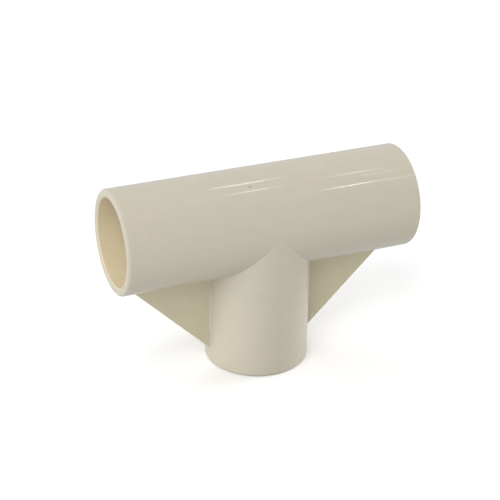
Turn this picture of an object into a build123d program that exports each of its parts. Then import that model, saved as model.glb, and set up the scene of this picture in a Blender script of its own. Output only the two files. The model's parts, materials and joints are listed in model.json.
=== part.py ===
from build123d import *
import math
import os

# A moulded tee fitting for 28 mm pipe: a straight run along X with a socket at each end, a branch socket
# that points down, and two thin gussets that brace the branch to the run. The fitting is one moulding.
# It is modelled whole, then divided into its natural sections, which meet face to face.
# Origin: the centre of the branch's mouth. +X along the run, +Z up, all sizes in millimetres.

# Driving dimensions
pipe_radius = 13.9
pipe_gap = 0.05
wall = 2.8
run_length = 98.5
axis_height = 49.0
hub_reach = 17.5
stop_height = 1.25
rim_round = 1.0
mouth_round = 0.7
crease_round = 0.4
gusset_thickness = 1.8
gusset_toe_x = 44.4
gusset_foot_z = 5.05
gusset_edge_round = 0.3
gusset_root_round = 0.4

# Sizes that follow from them
bore_radius = pipe_radius + pipe_gap
outer_radius = bore_radius + wall
waterway_radius = bore_radius - stop_height
root_radius = outer_radius + gusset_root_round + 0.1
run_half = run_length / 2
gusset_half = gusset_thickness / 2
root_drop = math.sqrt(outer_radius**2 - gusset_half**2)
hub_bottom = axis_height - hub_reach
ample = 2 * run_length
near = 1e-3

STANDING = (Align.CENTER, Align.CENTER, Align.MIN)


def run_rod(radius, length):
    """A solid rod centred on the run's axis."""
    return Pos(0, 0, axis_height) * Rot(0, 90, 0) * Cylinder(radius, length)


def branch_rod(radius, top):
    """A solid rod on the branch's axis, from its mouth up to the height given."""
    return Cylinder(radius, top, align=STANDING)


def samples(edge):
    """Points spread along an edge, away from its ends."""
    return [edge.position_at(share) for share in (0.1, 0.3, 0.5, 0.7, 0.9)]


def on_run(edge, radius):
    """True where an edge lies on a cylinder about the run's axis."""
    return all(abs(math.hypot(p.Y, p.Z - axis_height) - radius) < near for p in samples(edge))


def on_branch(edge, radius):
    """True where an edge lies on a cylinder about the branch's axis."""
    return all(abs(math.hypot(p.X, p.Y) - radius) < near for p in samples(edge))


def on_gusset_side(edge):
    """True where an edge lies on a flat side of a gusset."""
    return all(abs(abs(p.Y) - gusset_half) < near for p in samples(edge))


def at_mouth(edge):
    """True where an edge lies in the plane of one of the three mouths."""
    return all(abs(abs(p.X) - run_half) < near or abs(p.Z) < near for p in samples(edge))


def mouth_edges(shape, radius):
    """The three circles of the radius given where sockets open."""
    return [edge for edge in shape.edges() if at_mouth(edge) and (on_run(edge, radius) or on_branch(edge, radius))]


def gusset_plate():
    """The flat plate of the right gusset, reaching into both barrels, with its sloping edge eased."""
    outline = Polyline(
        (0, axis_height),
        (gusset_toe_x, axis_height),
        (gusset_toe_x, axis_height - root_drop),
        (root_drop, gusset_foot_z),
        (0, gusset_foot_z),
        close=True,
    )
    plate = extrude(make_face(Plane.XZ * outline), amount=gusset_half, both=True)
    slope = plate.faces().filter_by(lambda face: abs(face.normal_at().X) > near and abs(face.normal_at().Z) > near)
    long_edges = slope[0].edges().filter_by(on_gusset_side)
    return plate.fillet(gusset_edge_round, long_edges)


def moulding():
    """The whole fitting as it leaves the mould."""
    run = run_rod(outer_radius, run_length)
    run = run.fillet(rim_round, mouth_edges(run, outer_radius))
    branch = branch_rod(outer_radius, axis_height)
    branch = branch.fillet(rim_round, mouth_edges(branch, outer_radius))
    plate = gusset_plate()
    plates = plate + Rot(0, 0, 180) * plate

    crossing = run + branch
    creases = [e for e in crossing.edges() if on_run(e, outer_radius) and on_branch(e, outer_radius)]
    crossing = crossing.fillet(crease_round, creases)

    under_run = run + plates
    roots = [e for e in under_run.edges() if on_run(e, outer_radius) and on_gusset_side(e)]
    under_run = under_run.fillet(gusset_root_round, roots)

    beside_branch = branch + plates
    roots = [e for e in beside_branch.edges() if on_branch(e, outer_radius) and on_gusset_side(e)]
    beside_branch = beside_branch.fillet(gusset_root_round, roots)

    tee = crossing + under_run + beside_branch
    sockets = run_rod(bore_radius, run_length) - run_rod(bore_radius, 2 * hub_reach)
    tee = tee - sockets - branch_rod(bore_radius, hub_bottom)
    tee = tee.fillet(mouth_round, mouth_edges(tee, bore_radius))
    return tee - run_rod(waterway_radius, run_length) - branch_rod(waterway_radius, axis_height)


def write(node, shape):
    """Saves one section as parts/NODE.step."""
    export_step(shape, f"parts/{node}.step")


os.makedirs("parts", exist_ok=True)

tee = moulding()
hub_zone = Pos(0, 0, hub_bottom) * Box(2 * hub_reach, ample, ample, align=STANDING)
run_zone = run_rod(root_radius, ample)
branch_zone = branch_rod(root_radius, hub_bottom)
right_side = Box(ample, ample, ample, align=(Align.MIN, Align.CENTER, Align.CENTER))
left_side = Rot(0, 0, 180) * right_side

sockets = (tee & run_zone) - hub_zone
gussets = tee - hub_zone - run_zone - branch_zone

write("tee_hub", tee & hub_zone)
write("run_left_socket", sockets & left_side)
write("run_right_socket", sockets & right_side)
write("branch_socket", tee & branch_zone)
write("left_gusset", gussets & left_side)
write("right_gusset", gussets & right_side)
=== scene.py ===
import json
import math

import bmesh
import bpy
from mathutils import Matrix, Vector


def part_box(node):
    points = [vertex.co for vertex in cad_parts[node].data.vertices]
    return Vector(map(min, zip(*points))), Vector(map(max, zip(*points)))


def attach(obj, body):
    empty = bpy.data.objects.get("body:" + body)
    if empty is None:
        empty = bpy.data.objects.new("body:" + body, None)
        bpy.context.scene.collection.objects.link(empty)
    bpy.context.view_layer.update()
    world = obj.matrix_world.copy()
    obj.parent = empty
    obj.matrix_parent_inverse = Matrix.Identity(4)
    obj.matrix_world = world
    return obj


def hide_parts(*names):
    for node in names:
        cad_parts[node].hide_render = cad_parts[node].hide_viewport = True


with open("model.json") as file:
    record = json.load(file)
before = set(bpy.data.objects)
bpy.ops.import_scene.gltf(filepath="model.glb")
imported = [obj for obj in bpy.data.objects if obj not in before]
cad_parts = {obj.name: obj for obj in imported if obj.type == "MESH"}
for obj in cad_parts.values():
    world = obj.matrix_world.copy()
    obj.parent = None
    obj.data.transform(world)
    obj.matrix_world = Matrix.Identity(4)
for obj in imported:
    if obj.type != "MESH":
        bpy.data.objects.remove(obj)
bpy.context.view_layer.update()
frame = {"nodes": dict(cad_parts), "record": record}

MM = 0.001
SAME_PLACE = 1e-6

# ---------------------------------------------------------------- sizes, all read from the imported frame
hub_low, hub_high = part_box("tee_hub")
REACH = hub_high.x
OUTER = hub_high.y
AXIS = hub_high.z - OUTER
HUB_BOTTOM = hub_low.z
RUN_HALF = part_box("run_right_socket")[1].x
MOUNTS = {mount["name"]: mount for mount in frame["record"]["mounts"]}
BORE = MOUNTS["branch_socket"]["dims"]["r_mm"] * MM
hub_end = [v.co for v in frame["nodes"]["tee_hub"].data.vertices if abs(v.co.x - REACH) < SAME_PLACE]
WATERWAY = min(math.hypot(co.y, co.z - AXIS) for co in hub_end)
GUSSET_LOW, GUSSET_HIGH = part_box("right_gusset")

# Roundings of the moulding.
RIM_ROUND = 1.0 * MM
MOUTH_ROUND = 0.7 * MM
CREASE_ROUND = 0.4 * MM
PASSAGE_ROUND = 0.3 * MM
ROOT_ROUND = 0.4 * MM
GUSSET_EDGE_ROUND = 0.3 * MM

# SUPPORT is the short first and last step of a wall.
# ROOT_SINK puts a gusset's root just under the barrel's skin.
SUPPORT = 0.12 * MM
ROOT_SINK = 0.02 * MM

# How finely the curves and walls are divided.
RING = 192
SOCKET_STEPS = 20
HUB_STEPS = 16
GUSSET_STEPS = 20
PLANE_STEPS = 16
FACE_STEPS = 4
HUB_END_STEPS = 3
RIM_STEPS = 12
MOUTH_STEPS = 8
CREASE_STEPS = 8
ROOT_STEPS = 6
EDGE_STEPS = 5
EDGE_FLAT_STEPS = 6
SHARP_DEGREES = 35.0
JOIN_WITHIN = 1e-7
NO_LENGTH = 1e-8
SLICES = [math.pi * j / (RING // 2) for j in range(RING // 2 + 1)]


# ---------------------------------------------------------------- mesh helpers
def leg(start, end, count):
    """count + 1 values from start to end, the first and last step short to keep a straight wall crisp."""
    inset = math.copysign(min(SUPPORT, 0.15 * abs(end - start)), end - start)
    low, high = start + inset, end - inset
    return [start] + [low + (high - low) * i / (count - 2) for i in range(count - 1)] + [end]


def arc(centre, radius, first, last, count):
    """count + 1 points of an arc in a plane, angles in degrees."""
    angles = [math.radians(first + (last - first) * i / count) for i in range(count + 1)]
    return [(centre[0] + radius * math.cos(a), centre[1] + radius * math.sin(a)) for a in angles]


class Skin:
    """Vertices and faces of one piece, gathered grid by grid and joined where grids touch."""

    def __init__(self):
        self.vertices = []
        self.faces = []

    def grid(self, rows, closed=False):
        """Quads between rows of points. closed joins the last row to the first."""
        start, width = len(self.vertices), len(rows[0])
        for row in rows:
            self.vertices.extend(row)
        for j in range(len(rows) if closed else len(rows) - 1):
            here, there = start + j * width, start + (j + 1) % len(rows) * width
            self.faces += [(here + k, here + k + 1, there + k + 1, there + k) for k in range(width - 1)]

    def cap(self, outline):
        """One flat face."""
        start = len(self.vertices)
        self.vertices.extend(outline)
        self.faces.append(tuple(range(start, start + len(outline))))

    def finish(self, name):
        """The piece as a smooth-shaded object, with outward normals and its corners sharp."""
        mesh = bpy.data.meshes.new(name)
        mesh.from_pydata(self.vertices, [], self.faces)
        work = bmesh.new()
        work.from_mesh(mesh)
        bmesh.ops.remove_doubles(work, verts=work.verts, dist=JOIN_WITHIN)
        bmesh.ops.dissolve_degenerate(work, edges=work.edges, dist=NO_LENGTH)
        bmesh.ops.recalc_face_normals(work, faces=work.faces)
        for face in work.faces:
            face.smooth = True
        for edge in work.edges:
            edge.smooth = edge.is_manifold and edge.calc_face_angle(0.0) < math.radians(SHARP_DEGREES)
        loose = sum(not edge.is_manifold for edge in work.edges)
        print(name, len(work.faces), "faces,", loose, "open edges")
        work.to_mesh(mesh)
        work.free()
        piece = bpy.data.objects.new(name, mesh)
        bpy.context.scene.collection.objects.link(piece)
        return piece


# ---------------------------------------------------------------- sockets
def make_socket(name, depth, placing):
    """A socket turned about its own axis with its mouth at z = 0, then moved by the placing matrix."""
    outline = [(OUTER, z) for z in leg(depth, RIM_ROUND, SOCKET_STEPS)]
    outline += arc((OUTER - RIM_ROUND, RIM_ROUND), RIM_ROUND, 0, -90, RIM_STEPS)[1:]
    outline += [(r, 0.0) for r in leg(OUTER - RIM_ROUND, BORE + MOUTH_ROUND, FACE_STEPS)[1:]]
    outline += arc((BORE + MOUTH_ROUND, MOUTH_ROUND), MOUTH_ROUND, -90, -180, MOUTH_STEPS)[1:]
    outline += [(BORE, z) for z in leg(MOUTH_ROUND, depth, SOCKET_STEPS)[1:]]
    outline.append(outline[0])
    skin = Skin()
    angles = [2 * math.pi * j / RING for j in range(RING)]
    rows = [[placing @ Vector((r * math.cos(a), r * math.sin(a), z)) for r, z in outline] for a in angles]
    skin.grid(rows, closed=True)
    return skin.finish(name)


# ---------------------------------------------------------------- hub
def crease_path(across, rounding):
    """A slice of one lower quarter of a crossing, as (x, z): out along the run's underside, round the
    crease and down the branch. across is half the barrels' width in the slice."""
    turn = across * rounding
    corner = across + turn
    path = [(x, AXIS - across) for x in leg(REACH, corner, HUB_STEPS)]
    path += arc((corner, AXIS - corner), turn, 90, 180, CREASE_STEPS)[1:]
    return path + [(across, z) for z in leg(AXIS - corner, HUB_BOTTOM, HUB_STEPS)[1:]]


def add_crossing(skin, radius, crease):
    """The surface of two crossing barrels of one radius, open at its three ends."""
    along = leg(REACH, 0.0, HUB_STEPS)
    along += [-x for x in reversed(along[:-1])]
    top = [[Vector((x, -radius * math.cos(t), AXIS + radius * math.sin(t))) for x in along] for t in SLICES]
    skin.grid(top)
    paths = [(-radius * math.cos(t), crease_path(radius * math.sin(t), crease / radius)) for t in SLICES]
    for side in (1, -1):
        skin.grid([[Vector((side * x, y, z)) for x, z in path] for y, path in paths])


def make_hub(name):
    """The hub: the outer crossing, the waterway crossing inside it, and the three ring-shaped ends."""
    skin = Skin()
    add_crossing(skin, OUTER, CREASE_ROUND)
    add_crossing(skin, WATERWAY, PASSAGE_ROUND)
    radii = leg(OUTER, BORE, HUB_END_STEPS) + leg(BORE, WATERWAY, HUB_END_STEPS)[1:]
    for side in (1, -1):
        for half in (1, -1):
            heights = [[(r * math.cos(t), AXIS + half * r * math.sin(t)) for t in SLICES] for r in radii]
            skin.grid([[Vector((side * REACH, -across, z)) for across, z in ring] for ring in heights])
        spread = [[(r * math.cos(t), side * r * math.sin(t)) for t in SLICES] for r in radii]
        skin.grid([[Vector((x, -across, HUB_BOTTOM)) for across, x in ring] for ring in spread])
    return skin.finish(name)


# ---------------------------------------------------------------- gussets
def slope_x(z):
    """Where the gusset's sloping edge is at a height."""
    share = (z - GUSSET_LOW.z) / (GUSSET_HIGH.z - GUSSET_LOW.z)
    return GUSSET_LOW.x + share * (GUSSET_HIGH.x - GUSSET_LOW.x)


def slope_z(x):
    """Where the gusset's sloping edge is at a distance from the branch's axis."""
    share = (x - GUSSET_LOW.x) / (GUSSET_HIGH.x - GUSSET_LOW.x)
    return GUSSET_LOW.z + share * (GUSSET_HIGH.z - GUSSET_LOW.z)


def root_profile():
    """How the gusset's side flares into a barrel, as (half thickness, distance from the barrel's axis)."""
    half = GUSSET_HIGH.y
    centre_y = half + ROOT_ROUND
    centre_d = math.sqrt((OUTER + ROOT_ROUND) ** 2 - centre_y**2)
    lean = math.degrees(math.atan2(centre_y, centre_d))
    profile = arc((centre_y, centre_d), ROOT_ROUND, 270 - lean, 180, ROOT_STEPS)
    return [(profile[0][0], profile[0][1] - ROOT_SINK)] + profile


def make_gusset(name, side):
    """A gusset plate with flared roots along the run and the branch and an eased sloping edge."""
    profile = root_profile()
    run_x, run_z = GUSSET_HIGH.x - GUSSET_LOW.x, GUSSET_HIGH.z - GUSSET_LOW.z
    outward = Vector((run_z, 0.0, -run_x)).normalized()
    inset_x = GUSSET_EDGE_ROUND / outward.x
    inset_z = -GUSSET_EDGE_ROUND / outward.z

    def run_row(half, d):
        return [Vector((x, -half, AXIS - d)) for x in leg(d, slope_x(AXIS - d) - inset_x, GUSSET_STEPS)]

    def branch_row(half, d):
        return [Vector((d, -half, z)) for z in leg(AXIS - d, slope_z(d) + inset_z, GUSSET_STEPS)]

    run_rows = [run_row(half, d) for half, d in profile]
    branch_rows = [branch_row(half, d) for half, d in profile]
    shares = [i / PLANE_STEPS for i in range(PLANE_STEPS + 1)]
    plane = [[a.lerp(b, share) for share in shares] for a, b in zip(run_rows[-1], branch_rows[-1])]
    border = [row[-1] for row in run_rows] + plane[-1][1:-1] + [row[-1] for row in reversed(branch_rows)]

    def band(point):
        """The edge's section at a border point, from the gusset's front to its back."""
        turn = arc((0.0, 0.0), GUSSET_EDGE_ROUND, 0, 90, EDGE_STEPS)
        flat = -point.y - GUSSET_EDGE_ROUND
        front = [point + outward * out + Vector((0, -point.y - flat - inward, 0)) for inward, out in turn]
        across = [flat * (1 - 2 * i / EDGE_FLAT_STEPS) for i in range(1, EDGE_FLAT_STEPS)]
        middle = [Vector((front[-1].x, -y, front[-1].z)) for y in across]
        return front + middle + [Vector((p.x, -p.y, p.z)) for p in reversed(front)]

    skin = Skin()
    for flip in (1, -1):
        for rows in (run_rows, branch_rows, plane):
            skin.grid([[Vector((p.x, flip * p.y, p.z)) for p in row] for row in rows])
    bands = [band(point) for point in border]
    skin.grid(bands)
    for rows in (run_rows, branch_rows):
        skin.grid([rows[0], [Vector((p.x, -p.y, p.z)) for p in rows[0]]])
    skin.cap(bands[0])
    skin.cap(bands[-1])
    skin.vertices = [Vector((side * p.x, side * p.y, p.z)) for p in skin.vertices]
    return skin.finish(name)


# ---------------------------------------------------------------- pieces
def turned(x, z, degrees):
    """Moves a socket's mouth to (x, z) and turns it about Y."""
    return Matrix.Translation((x, 0, z)) @ Matrix.Rotation(math.radians(degrees), 4, "Y")


PIECES = {
    "tee_hub": make_hub("hub_moulding"),
    "run_left_socket": make_socket("left_socket_moulding", RUN_HALF - REACH, turned(-RUN_HALF, AXIS, 90)),
    "run_right_socket": make_socket("right_socket_moulding", RUN_HALF - REACH, turned(RUN_HALF, AXIS, -90)),
    "branch_socket": make_socket("branch_socket_moulding", HUB_BOTTOM, turned(0.0, 0.0, 0)),
    "left_gusset": make_gusset("left_gusset_moulding", -1),
    "right_gusset": make_gusset("right_gusset_moulding", 1),
}


# ---------------------------------------------------------------- material
OUTSIDE_TONE = (0.50, 0.46, 0.37, 1)
# Painted bounce light: the bores and gussets are painted warmer and brighter than the outside, for light
# bounced off and through the plastic.
BORE_PAINTED_BOUNCE_TONE = (0.65, 0.56, 0.39, 1)
GUSSET_PAINTED_BOUNCE_TONE = (0.56, 0.51, 0.36, 1)
CLOUD_TINT = (0.99, 1.0, 0.995, 1)
SPECK_SHADE = 0.68
# Painted shade: how much darker the ends of the sockets and branch are painted.
END_PAINTED_SHADE = 0.11
DULLER = 0.22
# Where the speck is, near the run's top.
SPECK = (-6.6 * MM, -7.4 * MM, AXIS + 15.05 * MM)


class Nodes:
    """Short calls that add shader nodes to one material and join them."""

    def __init__(self, name):
        self.material = bpy.data.materials.new(name)
        self.material.use_nodes = True
        self.tree = self.material.node_tree
        self.shader = self.tree.nodes["Principled BSDF"]

    def add(self, kind, inputs, **settings):
        """A node with its settings, and its inputs joined to sockets or set to numbers."""
        node = self.tree.nodes.new(kind)
        for key, value in settings.items():
            setattr(node, key, value)
        for key, value in inputs.items():
            if isinstance(value, bpy.types.NodeSocket):
                self.tree.links.new(value, node.inputs[key])
            else:
                node.inputs[key].default_value = value
        return node

    def math(self, operation, *values):
        return self.add("ShaderNodeMath", dict(enumerate(values)), operation=operation).outputs[0]

    def length(self, *values):
        """The square root of the sum of the squares."""
        squares = [self.math("MULTIPLY", value, value) for value in values]
        total = squares[0]
        for square in squares[1:]:
            total = self.math("ADD", total, square)
        return self.math("SQRT", total)

    def fade(self, value, start, end, low=0.0, high=1.0):
        """A soft step from low at start to high at end."""
        inputs = {"Value": value, "From Min": start, "From Max": end, "To Min": low, "To Max": high}
        return self.add("ShaderNodeMapRange", inputs, interpolation_type="SMOOTHSTEP").outputs["Result"]

    def noise(self, place, stretch, detail=2.0, roughness=0.5):
        """Noise from 0 to 1. stretch is how many waves to the metre along each axis."""
        moved = self.add("ShaderNodeVectorMath", {0: place, 1: stretch}, operation="MULTIPLY").outputs[0]
        inputs = {"Vector": moved, "Scale": 1.0, "Detail": detail, "Roughness": roughness}
        return self.add("ShaderNodeTexNoise", inputs).outputs["Fac"]

    def blend(self, factor, first, second, kind="MIX"):
        """A mix of two colours."""
        node = self.add("ShaderNodeMix", {}, data_type="RGBA", blend_type=kind)
        for key, value in ((0, factor), (6, first), (7, second)):
            if isinstance(value, bpy.types.NodeSocket):
                self.tree.links.new(value, node.inputs[key])
            else:
                node.inputs[key].default_value = value
        return node.outputs[2]

    def connect(self, value, socket):
        self.tree.links.new(value, self.shader.inputs[socket])


def ivory():
    """Glossy ivory moulded plastic, one material over all the pieces, placed by the object's own axes."""
    nodes = Nodes("ivory_moulding")
    place = nodes.add("ShaderNodeTexCoord", {}).outputs["Object"]
    axes = nodes.add("ShaderNodeSeparateXYZ", {"Vector": place}).outputs
    x, y, z = axes["X"], axes["Y"], axes["Z"]
    above = nodes.math("SUBTRACT", z, AXIS)
    from_run = nodes.length(y, above)
    from_branch = nodes.length(x, y, nodes.math("MAXIMUM", above, 0.0))
    nearest = nodes.math("MINIMUM", from_run, from_branch)
    from_ends = nodes.math("MINIMUM", z, nodes.math("SUBTRACT", RUN_HALF, nodes.math("ABSOLUTE", x)))

    inside = nodes.fade(nearest, BORE + 0.5 * MM, BORE + 0.1 * MM)
    on_gusset = nodes.fade(nearest, OUTER + 0.1 * MM, OUTER + 0.6 * MM)
    on_end = nodes.fade(from_ends, 1.1 * MM, 0.1 * MM)
    off_run = nodes.fade(from_run, OUTER + 0.05 * MM, OUTER + 0.3 * MM)

    # Colour: ivory outside; painted bounce light in the bores and on the gussets, which are painted warmer
    # where light only arrives through or off the plastic; with faint mottling.
    colour = nodes.blend(inside, OUTSIDE_TONE, BORE_PAINTED_BOUNCE_TONE)
    colour = nodes.blend(on_gusset, colour, GUSSET_PAINTED_BOUNCE_TONE)
    clouds = nodes.noise(place, (55.0, 70.0, 70.0), 3.0)
    clouded = nodes.blend(1.0, colour, CLOUD_TINT, "MULTIPLY")
    colour = nodes.blend(nodes.fade(clouds, 0.35, 0.7), colour, clouded)
    mottle = nodes.fade(nodes.noise(place, (420.0, 420.0, 420.0), 3.0, 0.6), 0.3, 0.7, 0.988, 1.012)
    flow = nodes.fade(nodes.noise(place, (30.0, 260.0, 260.0), 2.0), 0.3, 0.7, 0.992, 1.008)
    mottle_speck_and_painted_shade = nodes.math("MULTIPLY", mottle, flow)

    # One speck of dirt moulded into the run's top.
    away = nodes.add("ShaderNodeVectorMath", {0: place, 1: SPECK}, operation="DISTANCE").outputs["Value"]
    mottle_speck_and_painted_shade = nodes.math("MULTIPLY", mottle_speck_and_painted_shade, nodes.fade(away, 0.15 * MM, 0.7 * MM, SPECK_SHADE, 1.0))
    # Painted shade: the ends of the sockets and branch are painted darker.
    painted_end_shade = nodes.math("MULTIPLY", on_end, END_PAINTED_SHADE)
    mottle_speck_and_painted_shade = nodes.math("MULTIPLY", mottle_speck_and_painted_shade, nodes.math("SUBTRACT", 1.0, painted_end_shade))
    channels = {"Red": mottle_speck_and_painted_shade, "Green": mottle_speck_and_painted_shade, "Blue": mottle_speck_and_painted_shade}
    grey = nodes.add("ShaderNodeCombineColor", channels).outputs["Color"]
    nodes.connect(nodes.blend(1.0, colour, grey, "MULTIPLY"), "Base Color")

    # Roughness: polished barrels with fine drag marks, duller bores, gussets and ends.
    marks_run = nodes.noise(place, (35.0, 1900.0, 1900.0), 2.0)
    marks_branch = nodes.noise(place, (1900.0, 1900.0, 35.0), 2.0)
    marks = nodes.add("ShaderNodeMix", {0: off_run, 2: marks_run, 3: marks_branch}).outputs[0]
    dull = nodes.math("MAXIMUM", nodes.math("MAXIMUM", inside, on_gusset), on_end)
    rough = nodes.math("ADD", nodes.fade(marks, 0.5, 0.8, 0.06, 0.1), nodes.math("MULTIPLY", dull, DULLER))
    nodes.connect(nodes.math("ADD", rough, nodes.math("MULTIPLY", clouds, 0.02)), "Roughness")
    nodes.shader.inputs["IOR"].default_value = 1.5

    # Surface: polishing marks along each barrel, and the slow waviness of a shrunk moulding.
    marks_bump = nodes.add("ShaderNodeBump", {"Strength": 1.0, "Distance": 0.0025 * MM, "Height": marks})
    waves = nodes.noise(place, (90.0, 260.0, 260.0), 2.0)
    waves_bump = nodes.add("ShaderNodeBump", {"Strength": 1.0, "Distance": 0.012 * MM, "Height": waves,
                                              "Normal": marks_bump.outputs["Normal"]})
    nodes.connect(waves_bump.outputs["Normal"], "Normal")
    return nodes.material


IVORY = ivory()
for node, piece in PIECES.items():
    piece.data.materials.append(IVORY)
    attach(piece, "root")
    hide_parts(node)


# ---------------------------------------------------------------- stage, light and camera
FLOOR_RADIUS = 1.1
FLOOR_TONE = 0.9
FLOOR_GLOW = 0.12
CARD_RADIUS = 3.0
CARD_HEIGHT = -0.2 * MM
CARD_TONE = 0.7
BACKDROP_RADIUS = 4.2
BACKDROP_GLOW = 1.05
MIRRORED_RADIUS = 4.0
MIRRORED_GLOW = 0.8
WORLD_STRENGTH = 0.3


def make_backing(name, mesh, tone, glow):
    """A plain part of the stage, which may shine a little without being sampled as a light."""
    backing = bpy.data.objects.new(name, mesh)
    bpy.context.scene.collection.objects.link(backing)
    material = bpy.data.materials.new(name)
    material.use_nodes = True
    material.cycles.emission_sampling = "NONE"
    shader = material.node_tree.nodes["Principled BSDF"]
    shader.inputs["Base Color"].default_value = (tone, tone, tone, 1)
    shader.inputs["Roughness"].default_value = 0.9
    shader.inputs["Emission Color"].default_value = (1, 1, 1, 1)
    shader.inputs["Emission Strength"].default_value = glow
    mesh.materials.append(material)
    return backing


def make_disc(name, radius, height):
    mesh = bpy.data.meshes.new(name)
    rim = [(x, y, height) for x, y in arc((0.0, 0.0), radius, 0, 360, 96)[:-1]]
    mesh.from_pydata(rim, [], [tuple(range(len(rim)))])
    return mesh


def make_dome(name, radius):
    mesh = bpy.data.meshes.new(name)
    work = bmesh.new()
    bmesh.ops.create_uvsphere(work, u_segments=48, v_segments=24, radius=radius)
    work.to_mesh(mesh)
    work.free()
    return mesh


def make_stage():
    """A pale floor that shines a little, as a light table does, and a greyer card just under it that throws
    less light back up. Of two white domes, only the camera sees one and glossy plastic mirrors the other."""
    floor = make_backing("pale_floor", make_disc("pale_floor", FLOOR_RADIUS, 0.0), FLOOR_TONE, FLOOR_GLOW)
    floor.visible_diffuse = floor.visible_glossy = floor.visible_shadow = False
    card = make_backing("bounce_card", make_disc("bounce_card", CARD_RADIUS, CARD_HEIGHT), CARD_TONE, 0.0)
    card.visible_camera = False
    backdrop = make_backing("backdrop_dome", make_dome("backdrop_dome", BACKDROP_RADIUS), 0.0, BACKDROP_GLOW)
    backdrop.visible_diffuse = backdrop.visible_glossy = backdrop.visible_shadow = False
    mirrored = make_backing("mirrored_dome", make_dome("mirrored_dome", MIRRORED_RADIUS), 0.0, MIRRORED_GLOW)
    mirrored.visible_camera = mirrored.visible_diffuse = mirrored.visible_shadow = False


# Every light stands LAMP_DISTANCE from what it shines at: FITTING_MIDDLE, or a streak's place.
LAMP_DISTANCE = 1.5
FITTING_MIDDLE = Vector((0.0, 0.0, 0.04))
PANEL_ACROSS = 0.9
PANELS = {
    # name: (azimuth and elevation in degrees, watts)
    "soft_front": (-45, 48, 9),
    "soft_front_low": (-45, 12, 4),
    "soft_left_low": (-75, 12, 7),
    "soft_left_rear": (-110, 12, 6),
    "soft_left_back": (-135, 48, 4),
    "soft_right_front": (55, 12, 2),
    "soft_right_low": (90, 12, 20),
    "soft_back": (180, 48, 3),
    "soft_top": (0, 90, 1),
}
STREAKS = {
    # name: (where its middle lies: millimetres along the run, degrees from the run's top towards the front;
    #        watts of the lamp and metres across)
    "lamp_back": (-8.5, 20.5, 0.1, 0.08),
    "lamp_front": (26.5, 44, 0.09, 0.055),
    "lamp_front_right": (43, 44.5, 0.02, 0.06),
    "lamp_top": (28.5, 30, 0.04, 0.06),
    "lamp_top_right": (37.5, 35, 0.03, 0.07),
    "lamp_top_left": (-7, 31.5, 0.04, 0.05),
    "lamp_left": (-27, 32.5, 0.015, 0.03),
}


def make_light(name, target, towards, watts, across, mirrored):
    """A round light that shines at the target from the direction given."""
    light = bpy.data.objects.new(name, bpy.data.lights.new(name, "AREA"))
    bpy.context.scene.collection.objects.link(light)
    light.data.shape, light.data.size, light.data.energy = "DISK", across, watts
    light.location = target + towards * LAMP_DISTANCE
    light.rotation_mode = "QUATERNION"
    light.rotation_quaternion = (-towards).to_track_quat("-Z", "Y")
    light.visible_camera = False
    light.visible_glossy = mirrored


def make_panels():
    """Soft lights for the shading, which nothing mirrors. Azimuths turn from -Y towards +X."""
    for name, (azimuth, elevation, watts) in PANELS.items():
        a, e = math.radians(azimuth), math.radians(elevation)
        towards = Vector((math.sin(a) * math.cos(e), -math.cos(a) * math.cos(e), math.sin(e)))
        make_light(name, FITTING_MIDDLE, towards, watts, PANEL_ACROSS, False)


def make_streaks(camera):
    """Small lamps, each where the camera sees it mirrored as a thin streak at its place on the run."""
    for name, (along, turn, watts, across) in STREAKS.items():
        t = math.radians(turn)
        outward = Vector((0.0, -math.sin(t), math.cos(t)))
        place = Vector((along * MM, 0.0, AXIS)) + outward * OUTER
        sight = (place - camera.location).normalized()
        towards = sight - outward * 2 * sight.dot(outward)
        make_light(name, place, towards, watts, across, True)


def make_world():
    world = bpy.data.worlds.new("studio")
    bpy.context.scene.world = world
    world.use_nodes = True
    background = world.node_tree.nodes["Background"]
    background.inputs["Color"].default_value = (1.0, 1.0, 1.0, 1)
    background.inputs["Strength"].default_value = WORLD_STRENGTH


def make_camera():
    """Looks from the front left and above, with a small roll. Angles in degrees, lens in millimetres."""
    azimuth = math.radians(23.8)
    elevation = math.radians(27.7)
    roll = math.radians(1.3)
    distance = 502 * MM
    aim_right = -2.6 * MM
    aim_up = 37.3 * MM
    level = Vector((math.sin(azimuth), math.cos(azimuth), 0.0))
    forward = level * math.cos(elevation) - Vector((0.0, 0.0, math.sin(elevation)))
    right = forward.cross(Vector((0, 0, 1))).normalized()
    camera = bpy.data.objects.new("camera", bpy.data.cameras.new("camera"))
    bpy.context.scene.collection.objects.link(camera)
    camera.data.sensor_width = 36.0
    camera.data.lens = 113.1
    camera.data.clip_start = 0.01
    camera.location = Vector((0, 0, aim_up)) + right * aim_right - forward * distance
    camera.rotation_mode = "QUATERNION"
    rolled = Matrix.Rotation(roll, 3, "Z").to_quaternion()
    camera.rotation_quaternion = forward.to_track_quat("-Z", "Y") @ rolled
    bpy.context.scene.camera = camera
    return camera


bpy.context.scene.view_settings.view_transform = "Standard"
make_stage()
make_world()
make_panels()
make_streaks(make_camera())
